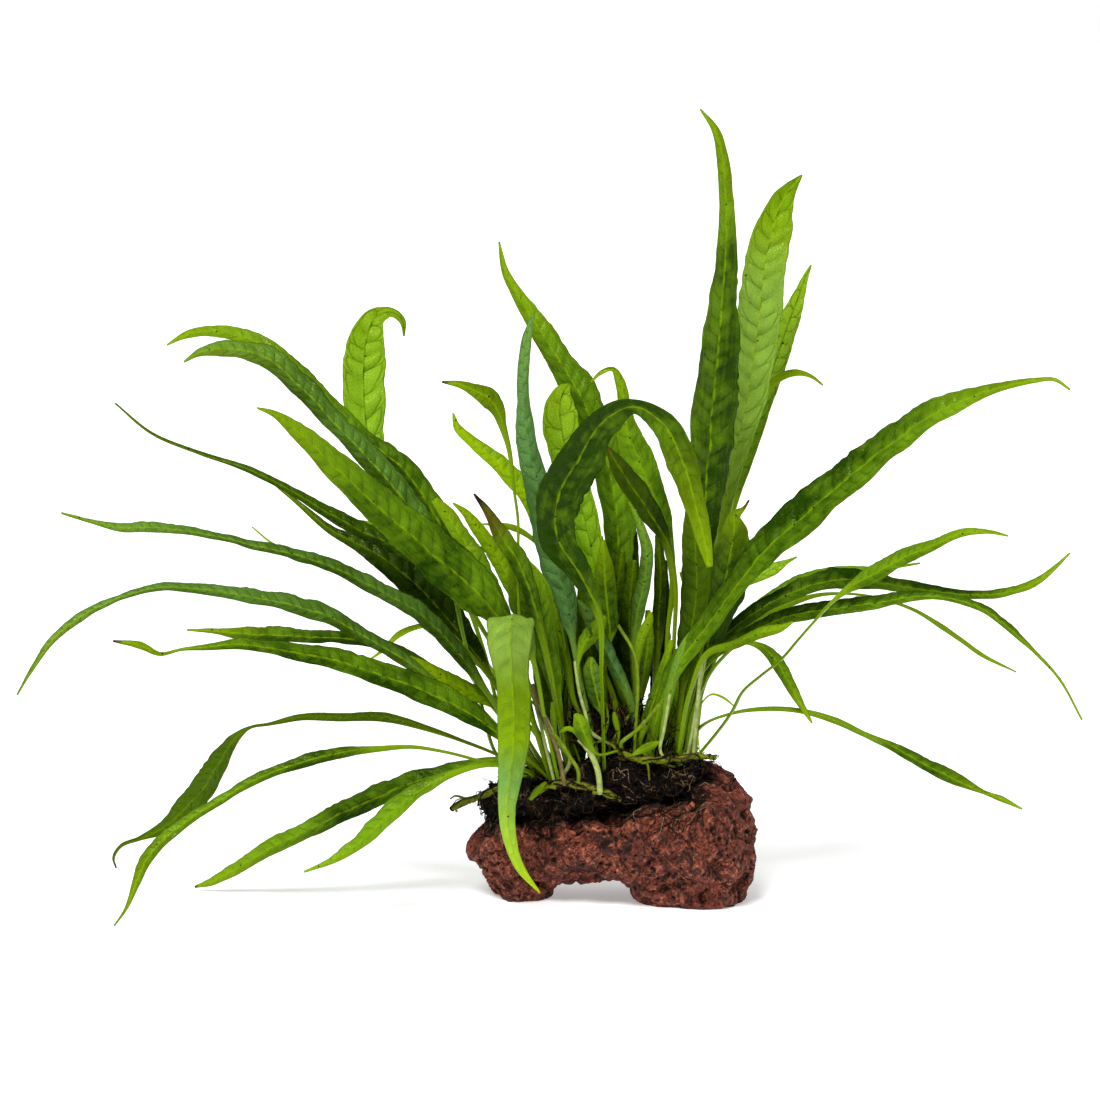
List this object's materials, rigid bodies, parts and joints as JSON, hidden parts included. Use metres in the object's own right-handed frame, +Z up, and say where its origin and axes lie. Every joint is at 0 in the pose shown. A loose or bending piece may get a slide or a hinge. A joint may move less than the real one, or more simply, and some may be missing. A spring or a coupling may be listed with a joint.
{
  "type": "java fern on lava rock",
  "caption": "Bushy clump of long, quilted, strap-shaped fern leaves held by creeping stems and a dark root mat on a lump of red lava rock.",
  "frame": {"origin": "on the ground, in the middle of the flat under the larger foot of the stone", "axes": "+X along the stone towards its larger end, +Y away from the pictured side, +Z up"},
  "size_m": [0.346, 0.1545, 0.2621],
  "materials": {
    "lava_stone": "matte",
    "rootlets": "matte",
    "creeping_stem": "satin",
    "leaf": "satin"
  },
  "bodies": {
    "root": {"creeping_stem_front": "creeping_stem", "creeping_stem_left": "creeping_stem", "creeping_stem_right": "creeping_stem", "lava_rock": "lava_stone", "leaf_front_hanging": "leaf", "leaf_left_black_tip": "leaf", "leaf_left_broad": "leaf", "leaf_left_dark_behind": "leaf", "leaf_left_dark_narrow": "leaf", "leaf_left_drooping_dark": "leaf", "leaf_left_drooping_low": "leaf", "leaf_left_high_forked": "leaf", "leaf_left_high_front": "leaf", "leaf_left_hooked": "leaf", "leaf_left_level_thin": "leaf", "leaf_left_level_upper": "leaf", "leaf_left_longest": "leaf", "leaf_left_low_yellow": "leaf", "leaf_left_short_pale": "leaf", "leaf_left_short_yellow": "leaf", "leaf_left_tapered": "leaf", "leaf_left_touching_ground": "leaf", "leaf_middle_arching": "leaf", "leaf_middle_bent_tip": "leaf", "leaf_middle_blue_green": "leaf", "leaf_middle_blunt": "leaf", "leaf_middle_brown_tip": "leaf", "leaf_middle_dark_blunt": "leaf", "leaf_middle_dark_narrow": "leaf", "leaf_middle_leaning": "leaf", "leaf_middle_level": "leaf", "leaf_middle_light_narrow": "leaf", "leaf_middle_long_stalk": "leaf", "leaf_middle_pale": "leaf", "leaf_middle_ragged": "leaf", "leaf_middle_short_yellow": "leaf", "leaf_middle_slender": "leaf", "leaf_middle_spotted": "leaf", "leaf_middle_tall": "leaf", "leaf_middle_twisted": "leaf", "leaf_middle_yellow": "leaf", "leaf_right_arch": "leaf", "leaf_right_dark": "leaf", "leaf_right_drooping": "leaf", "leaf_right_folded": "leaf", "leaf_right_high_back": "leaf", "leaf_right_high_small": "leaf", "leaf_right_level": "leaf", "leaf_right_level_pale": "leaf", "leaf_right_low": "leaf", "leaf_right_ribbon": "leaf", "leaf_right_tall_behind": "leaf", "leaf_right_tallest": "leaf", "leaf_right_turned_down": "leaf", "leaf_right_under_arch": "leaf", "leaf_right_veined": "leaf", "leaf_right_yellow": "leaf", "leaf_right_young": "leaf", "root_mat": "rootlets"}
  },
  "joints": []
}
